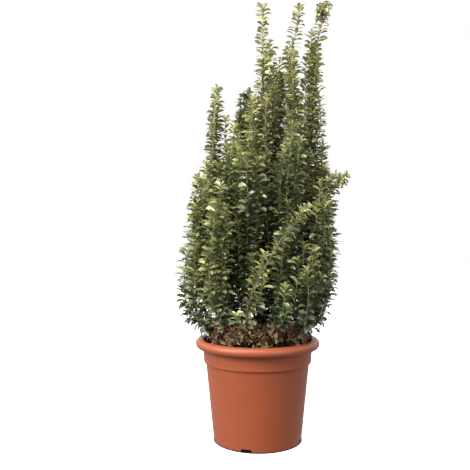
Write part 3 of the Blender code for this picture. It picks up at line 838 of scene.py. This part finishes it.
def add_bump(tree, shader, coords, scale, strength, distance, stretch=None):
    """Fine relief in the light, by noise that may be stretched."""
    cloud = add_node(tree, "ShaderNodeTexNoise", Scale=scale, Detail=6.0)
    source = coords.outputs["Object"]
    if stretch:
        mapping = add_node(tree, "ShaderNodeMapping", Scale=stretch)
        tree.links.new(source, mapping.inputs["Vector"])
        source = mapping.outputs["Vector"]
    bump = add_node(tree, "ShaderNodeBump", Strength=strength, Distance=distance)
    tree.links.new(source, cloud.inputs["Vector"])
    tree.links.new(cloud.outputs["Fac"], bump.inputs["Height"])
    tree.links.new(bump.outputs["Normal"], shader.inputs["Normal"])


LEAF_COLOURS = {
    "deep": (0.036, 0.055, 0.020),
    "dark": (0.063, 0.084, 0.031),
    "mid": (0.098, 0.124, 0.047),
    "green": (0.138, 0.165, 0.061),
    "fresh": (0.215, 0.230, 0.075),
    "bright": (0.324, 0.318, 0.107),
    "lime": (0.392, 0.384, 0.124),
    "olive": (0.188, 0.138, 0.055),
    "brown": (0.162, 0.073, 0.031),
    "tan": (0.290, 0.205, 0.098),
}


def leaf_paints(name):
    """The glossy upper side and the paler, duller underside of one tone of leaf."""
    colour = np.array(LEAF_COLOURS[name])
    dry = name in DRY_TONES
    gloss = {} if dry else {"Specular_IOR_Level": 1.0}
    upper, shader, tree = principled("leaf_" + name, colour, 0.65 if dry else 0.28, **gloss)
    noise_colour(tree, shader, 60.0, tuple(colour * 0.84), tuple(colour * 1.16))
    grey = colour.mean()
    # Paler underside: partly its own colour, partly painted light shining through the leaf
    pale = colour * 0.84 + np.array((1.0, 1.0, 0.8)) * grey * 0.30 + 0.008
    under, shader, tree = principled("under_" + name, tuple(pale), 0.60)
    noise_colour(tree, shader, 60.0, tuple(pale * 0.88), tuple(pale * 1.12))
    return upper, under


def turned_mesh(name, profile, sides):
    """A solid turned from (radius, z) points that start and end on the Z axis."""
    mesh = bpy.data.meshes.new(name)
    work = bmesh.new()
    rings = []
    for radius, z in profile:
        if radius < 1e-6:
            rings.append([work.verts.new((0, 0, z))])
            continue
        turns = [math.tau * i / sides for i in range(sides)]
        ring = [(radius * math.cos(turn), radius * math.sin(turn), z) for turn in turns]
        rings.append([work.verts.new(corner) for corner in ring])
    for low, high in zip(rings, rings[1:]):
        for i in range(sides):
            j = (i + 1) % sides
            ends = [low[i % len(low)], low[j % len(low)], high[j % len(high)], high[i % len(high)]]
            work.faces.new(list(dict.fromkeys(ends)))
    bmesh.ops.recalc_face_normals(work, faces=work.faces)
    work.to_mesh(mesh)
    work.free()
    return mesh


def arc(centre, radius, start, end, steps):
    """Points on an arc between two angles in degrees."""
    made = []
    for i in range(steps + 1):
        angle = math.radians(start + (end - start) * i / steps)
        made.append((centre[0] + radius * math.cos(angle), centre[1] + radius * math.sin(angle)))
    return made


def pot_profile():
    """The pot's (radius, z) points: inside upwards, the bead, outside downwards, underside."""
    bead_r, bead_z = RIM_RADIUS - BEAD_RADIUS, POT_HEIGHT - BEAD_RADIUS
    share = FLOOR_Z / BODY_TOP_Z
    inner_base = BASE_RADIUS + (BODY_TOP_RADIUS - BASE_RADIUS) * share - WALL
    lip = POT_HEIGHT - 2 * BEAD_RADIUS
    inside = [
        (0.0, FLOOR_Z),
        (inner_base, FLOOR_Z),
        (BODY_TOP_RADIUS - WALL, BODY_TOP_Z - 0.001),
        (COLLAR_FOOT_RADIUS - WALL, COLLAR_FOOT_Z + 0.001),
        (COLLAR_TOP_RADIUS - WALL, lip),
    ]
    bead = arc((bead_r, bead_z), BEAD_RADIUS, 150, -140, 28)
    groove = COLLAR_FOOT_RADIUS
    outside = [
        (COLLAR_TOP_RADIUS + 0.0004, lip + 0.0006),
        (COLLAR_TOP_RADIUS, lip - 0.0014),
        (groove + 0.0004, COLLAR_FOOT_Z + 0.004),
        *arc((groove - 0.0008, COLLAR_FOOT_Z + 0.0010), 0.0010, 20, -90, 4),
        (groove - 0.0040, COLLAR_FOOT_Z + 0.0002),
        (groove - 0.0044, COLLAR_FOOT_Z - 0.0008),
        (groove - 0.0036, COLLAR_FOOT_Z - 0.0022),
        (BODY_TOP_RADIUS, BODY_TOP_Z),
        (BASE_RADIUS + 0.0003, 0.0045),
        *arc((BASE_RADIUS - 0.0025, 0.0026), 0.0025, 0, -90, 5),
    ]
    underside = [
        (FOOT_RING_RADIUS, 0.0),
        (FOOT_RING_RADIUS - 0.002, CHANNEL_Z),
        (PAD_RADIUS + 0.002, CHANNEL_Z),
        (PAD_RADIUS, 0.0),
        (0.0, 0.0),
    ]
    return inside + bead + outside + underside


def cut_notches(pot):
    """Cuts the drain notches with rounded blocks that reach past the foot."""
    depth = BASE_RADIUS - NOTCH_INNER_RADIUS + NOTCH_OVERCUT
    for i in range(NOTCH_COUNT):
        bearing = NOTCH_TURN + i * math.tau / NOTCH_COUNT
        middle = (NOTCH_INNER_RADIUS + BASE_RADIUS) / 2 + NOTCH_OVERCUT / 2
        size = (depth, NOTCH_WIDTH, 2 * NOTCH_HEIGHT)
        mesh = bpy.data.meshes.new("notch")
        work = bmesh.new()
        place = Matrix.Rotation(bearing, 4, "Z") @ Matrix.Translation((middle, 0, 0))
        bmesh.ops.create_cube(work, size=1, matrix=place @ Matrix.Diagonal((*size, 1)))
        edges = [e for e in work.edges if abs((e.verts[0].co - e.verts[1].co).z) < 1e-6]
        top = [e for e in edges if e.verts[0].co.z > 0]
        bmesh.ops.bevel(work, geom=top, offset=NOTCH_ROUNDING, segments=3, affect="EDGES")
        work.to_mesh(mesh)
        work.free()
        cutter = bpy.data.objects.new("notch", mesh)
        bpy.context.scene.collection.objects.link(cutter)
        cut = pot.modifiers.new("notch", "BOOLEAN")
        cut.operation = "DIFFERENCE"
        cut.object = cutter
        graph = bpy.context.evaluated_depsgraph_get()
        pot.data = bpy.data.meshes.new_from_object(pot.evaluated_get(graph))
        pot.modifiers.clear()
        bpy.data.objects.remove(cutter, do_unlink=True)
    pot.data.shade_smooth()
    pot.data.set_sharp_from_angle(angle=math.radians(38))


def make_pot():
    paint, shader, tree = principled(
        "terracotta_plastic", (0.285, 0.064, 0.024), 0.44, Specular_IOR_Level=0.4
    )
    coords = noise_colour(tree, shader, 9.0, (0.272, 0.062, 0.023), (0.290, 0.067, 0.025), 3.0)
    add_bump(tree, shader, coords, 900.0, 0.08, 0.0002)
    mesh = turned_mesh("pot_shell", pot_profile(), POT_SIDES)
    pot = link("pot_shell", mesh, "terracotta_plastic", paint)
    cut_notches(pot)
    # The inside of the wall is matt and painted lighter: a painted light in its shade
    matt, shader, tree = principled(
        "terracotta_inside_painted_light", (0.33, 0.085, 0.034), 0.9, Specular_IOR_Level=0.05
    )
    noise_colour(tree, shader, 30.0, (0.30, 0.075, 0.030), (0.36, 0.095, 0.038), 3.0)
    pot.data.materials.clear()
    pot.data.materials.append(paint)
    pot.data.materials.append(matt)
    for face in pot.data.polygons:
        away = face.normal.x * face.center.x + face.normal.y * face.center.y
        within = face.center.z > FLOOR_Z and math.hypot(*face.center.xy) < COLLAR_TOP_RADIUS
        if within and away < 0:
            face.material_index = 1
    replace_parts(pot, "pot")


def make_soil():
    """The compost, domed, with a lumpy top."""
    paint, shader, tree = principled("potting_soil", (0.12, 0.055, 0.032), 0.95)
    dark, light = (0.075, 0.032, 0.018), (0.220, 0.110, 0.065)
    coords = noise_colour(tree, shader, 260.0, dark, light, 8.0, 0.4, 0.62)
    add_bump(tree, shader, coords, 700.0, 0.9, 0.002)
    top = SOIL_Z + SOIL_CROWN
    wall = COLLAR_TOP_RADIUS - WALL - GAP * 2 - 0.0012
    radii = [wall * i / SOIL_RINGS for i in range(SOIL_RINGS + 1)]
    profile = [(r, top - SOIL_FALL * (r / wall) ** 2) for r in radii]
    profile += [(wall - 0.0015, SOIL_Z - 0.006), (BODY_TOP_RADIUS - WALL - 0.0012, BODY_TOP_Z)]
    profile += [(BASE_RADIUS - WALL - 0.001, FLOOR_Z + GAP), (0.0, FLOOR_Z + GAP)]
    mesh = turned_mesh("potting_soil", profile, SOIL_SIDES)
    for corner in mesh.vertices:
        radius = math.hypot(corner.co.x, corner.co.y)
        if corner.co.z > SOIL_Z - 0.004 and radius < wall - 0.0005:
            where = Vector((corner.co.x, corner.co.y, 0))
            lump = noise.noise(where * 90) * 0.5 + noise.noise(where * 260) * 0.5
            corner.co.z += SOIL_LUMP * lump
    soil = link("potting_soil", mesh, "soil", paint)
    soil.data.shade_smooth()
    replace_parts(soil, "soil")


def make_limbs():
    """The trunk and boughs with the bark's relief."""
    paint, shader, tree = principled("bark", (0.12, 0.082, 0.050), 0.85)
    coords = noise_colour(tree, shader, 180.0, (0.060, 0.040, 0.024), (0.205, 0.145, 0.090), 6.0)
    add_bump(tree, shader, coords, 500.0, 0.7, 0.0008, (1.0, 1.0, 0.25))
    work = bmesh.new()
    profile = [
        (0.0, FORK_Z + 0.016),
        (0.010, FORK_Z + 0.013),
        (TRUNK_WAIST, FORK_Z + 0.002),
        (TRUNK_WAIST + 0.001, SOIL_Z + 0.009),
        (TRUNK_FLARE, SOIL_Z + SOIL_CROWN + GAP),
        (0.0, SOIL_Z + SOIL_CROWN + GAP),
    ]
    body = turned_mesh("trunk_body", profile, 32)
    stubs = []
    for mass in MASSES:
        line = bough_line(mass)
        out = (line[0] - FORK).normalized()
        points = [tuple(FORK + out * STUB_REACH * u) for u in (0.1, 0.4, 0.7, 1.0)]
        stubs.append((points, (0.0054, 0.0048, 0.0042, 0.0038)))
    for bearing in DRY_BEARINGS:
        out = leaning(bearing, DRY_LEAN)
        points = [tuple(FORK + out * DRY_STUB_REACH * u) for u in (0.15, 0.6, 1.0)]
        stubs.append((points, (0.0034, 0.0030, 0.0026)))
    work.from_mesh(body)
    work.from_mesh(tubes_mesh("trunk_stubs", stubs, 8))
    mesh = bpy.data.meshes.new("trunk_bark")
    work.to_mesh(mesh)
    work.free()
    trunk = link("trunk_bark", mesh, "bark", paint)
    remesh = trunk.modifiers.new("fuse", "REMESH")
    remesh.mode = "VOXEL"
    remesh.voxel_size = TRUNK_CELL
    graph = bpy.context.evaluated_depsgraph_get()
    fused = bpy.data.meshes.new_from_object(trunk.evaluated_get(graph))
    trunk.modifiers.clear()
    trunk.data = fused
    for corner in fused.vertices:
        if corner.co.z < SOIL_Z + SOIL_CROWN + 0.0012:
            continue
        bearing = math.atan2(corner.co.y, corner.co.x)
        ridge = noise.noise(Vector((bearing * 6, corner.co.z * 60, 1.3)))
        corner.co += corner.normal * (0.0007 * ridge + 0.0004 * noise.noise(corner.co * 500))
    fused.shade_smooth()
    fused.materials.clear()
    fused.materials.append(paint)
    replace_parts(trunk, "trunk")
    limbs = []
    for mass in MASSES:
        line = bough_line(mass)
        first = [FORK + (line[0] - FORK) * u for u in (0.80, 0.92)]
        points = first + trace(line, LINE_STEPS)
        radii = [BOUGH_FOOT_RADIUS * 0.9, BOUGH_FOOT_RADIUS]
        for i in range(LINE_STEPS + 1):
            slimmer = (BOUGH_TIP_RADIUS - BOUGH_FOOT_RADIUS) * i / LINE_STEPS
            radii.append(BOUGH_FOOT_RADIUS + slimmer)
        limbs.append(([tuple(p) for p in points], radii))
    mesh = tubes_mesh("bough_bark", limbs, 10, BOUGH_RELIEF)
    boughs = link("bough_bark", mesh, "bark", paint)
    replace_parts(boughs, *["bough_" + mass.name for mass in MASSES])
    return paint


def make_leaves(tables, foliage, tufts):
    """One piece for each tone, without leaves that reach into the pot or past the CAD box."""
    box = np.array(cad_box)
    low, high = box[0] - BOX_MARGIN, box[1] + BOX_MARGIN
    for name, table in tables.items():
        corners = table.corners()
        inside = ((corners > low) & (corners < high)).all(axis=(1, 2))
        corners = corners[clear_of_pot(corners).all(axis=1) & inside]
        dry_tone = name in DRY_TONES
        slot = "dry_foliage" if dry_tone else "foliage"
        mesh = leaf_mesh("leaves_" + name, corners)
        made = link("leaves_" + name, mesh, slot, *leaf_paints(name))
        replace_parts(made, *(tufts if dry_tone else foliage))


def make_stems(shoots, bark, foliage, tufts):
    """All stems as two pieces: brown at the foot and on dry twigs, green towards the tips."""
    woody, green = [], []
    for shoot in shoots:
        radii = np.interp(shoot.marks, [0, shoot.length], [shoot.thick, shoot.thin])
        if shoot.kind == "dry":
            woody.append((shoot.points, radii))
            continue
        brown = max(shoot.length - GREEN_LENGTH, shoot.length * 0.45)
        split = int(np.searchsorted(shoot.marks, brown))
        split = min(max(split, 1), len(shoot.points) - 2)
        woody.append((shoot.points[: split + 1], radii[: split + 1]))
        green.append((shoot.points[split:], radii[split:]))
    for bearing in DRY_BEARINGS:
        points = np.array([tuple(p) for p in trace(dry_line(bearing), 8)])
        woody.append((points, np.linspace(*DRY_STEM_RADII, len(points))))
    twigs = link("twigs", tubes_mesh("twigs", woody), "bark", bark)
    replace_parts(twigs, *tufts)
    stem, shader, tree = principled("green_stem", (0.23, 0.24, 0.080), 0.5)
    noise_colour(tree, shader, 40.0, (0.16, 0.17, 0.050), (0.28, 0.27, 0.10))
    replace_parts(link("green_stems", tubes_mesh("green_stems", green), "foliage", stem), *foliage)


def make_plant():
    rng = random.Random(SEED)
    bark = make_limbs()
    shoots = []
    for mass in MASSES:
        shoots += grow_mass(mass, rng)
    shoots += [grow_outlier(*row, rng) for row in OUTLIERS]
    shoots += grow_dry(rng)
    tables = {name: Leaves() for name in TONES + DRY_TONES}
    for shoot in shoots:
        clothe(shoot, rng, tables)
    strew(rng, tables)
    foliage = ["foliage_" + mass.name for mass in MASSES]
    tufts = [f"dry_tuft_{i + 1}" for i in range(len(DRY_BEARINGS))]
    make_leaves(tables, foliage, tufts)
    make_stems(shoots, bark, foliage, tufts)


def make_floor():
    """A pale floor that glows, with a painted shadow under the pot, where it turns black."""
    bpy.ops.mesh.primitive_plane_add(size=8, location=(0, 0, -0.0005))
    floor = bpy.context.object
    floor.name = "floor"
    paint, shader, tree = principled(
        "floor_white_painted_shadow", (0.60, 0.60, 0.60), 0.9, Emission_Color=WHITE
    )
    coords = add_node(tree, "ShaderNodeTexCoord")
    away = add_node(tree, "ShaderNodeVectorMath")
    away.operation = "LENGTH"
    # Colour and glow fall to black inside the pot's foot: a painted shadow with a soft edge
    edge = {"From_Min": BASE_RADIUS, "From_Max": BASE_RADIUS + PAINTED_SHADOW_EDGE}
    ramp = add_node(tree, "ShaderNodeMapRange", To_Max=FLOOR_GLOW, **edge)
    tree.links.new(coords.outputs["Object"], away.inputs[0])
    tree.links.new(away.outputs["Value"], ramp.inputs["Value"])
    tree.links.new(ramp.outputs["Result"], shader.inputs["Emission Strength"])
    tree.links.new(ramp.outputs["Result"], shader.inputs["Base Color"])
    floor.data.materials.append(paint)
    floor.visible_diffuse = False
    floor.visible_glossy = False


def make_world():
    """Light that is softer from below and stronger in gloss, on a background of white."""
    world = bpy.data.worlds.new("studio")
    bpy.context.scene.world = world
    world.use_nodes = True
    tree = world.node_tree
    dim = tree.nodes["Background"]
    dim.inputs["Color"].default_value = WHITE
    way = add_node(tree, "ShaderNodeTexCoord")
    parts = add_node(tree, "ShaderNodeSeparateXYZ")
    low, high = SKY_CLIMB
    ramp = add_node(tree, "ShaderNodeMapRange", From_Min=low, From_Max=high)
    ramp.inputs["To Min"].default_value, ramp.inputs["To Max"].default_value = SKY_LIGHT
    bright = add_node(tree, "ShaderNodeBackground", Color=WHITE, Strength=1.0)
    rays = add_node(tree, "ShaderNodeLightPath")
    # In gloss the light is stronger: multiplied by shine, with base added
    shine, base, strength = (add_node(tree, "ShaderNodeMath") for _ in range(3))
    shine.operation = strength.operation = "MULTIPLY_ADD"
    base.operation = "MULTIPLY"
    shine.inputs[1].default_value = GLOSS_GAIN
    shine.inputs[2].default_value = 1.0
    base.inputs[1].default_value = GLOSS_BASE
    mix = add_node(tree, "ShaderNodeMixShader")
    for source, target in (
        (way.outputs["Generated"], parts.inputs[0]),
        (parts.outputs["Z"], ramp.inputs["Value"]),
        (rays.outputs["Is Glossy Ray"], shine.inputs[0]),
        (rays.outputs["Is Glossy Ray"], base.inputs[0]),
        (ramp.outputs["Result"], strength.inputs[0]),
        (shine.outputs[0], strength.inputs[1]),
        (base.outputs[0], strength.inputs[2]),
        (strength.outputs[0], dim.inputs["Strength"]),
        (rays.outputs["Is Camera Ray"], mix.inputs[0]),
        (dim.outputs[0], mix.inputs[1]),
        (bright.outputs[0], mix.inputs[2]),
        (mix.outputs[0], tree.nodes["World Output"].inputs["Surface"]),
    ):
        tree.links.new(source, target)


def make_stage():
    make_floor()
    make_world()
    scene = bpy.context.scene
    for name, place, size, power in LAMPS:
        lamp = bpy.data.objects.new(name, bpy.data.lights.new(name, "AREA"))
        lamp.data.size = size
        lamp.data.energy = power
        lamp.location = place
        aim = Vector(LAMP_TARGET) - Vector(place)
        lamp.rotation_euler = aim.to_track_quat("-Z", "Y").to_euler()
        scene.collection.objects.link(lamp)
    scene.view_settings.view_transform = "Standard"
    scene.view_settings.look = "None"


def make_camera():
    scene = bpy.context.scene
    camera = bpy.data.objects.new("camera", bpy.data.cameras.new("camera"))
    camera.data.lens = CAMERA_LENS
    camera.data.sensor_width = SENSOR
    camera.location = CAMERA_PLACE
    camera.rotation_euler = (math.radians(90), 0, 0)
    scene.collection.objects.link(camera)
    scene.camera = camera


make_camera()
make_stage()
make_pot()
make_soil()
make_plant()
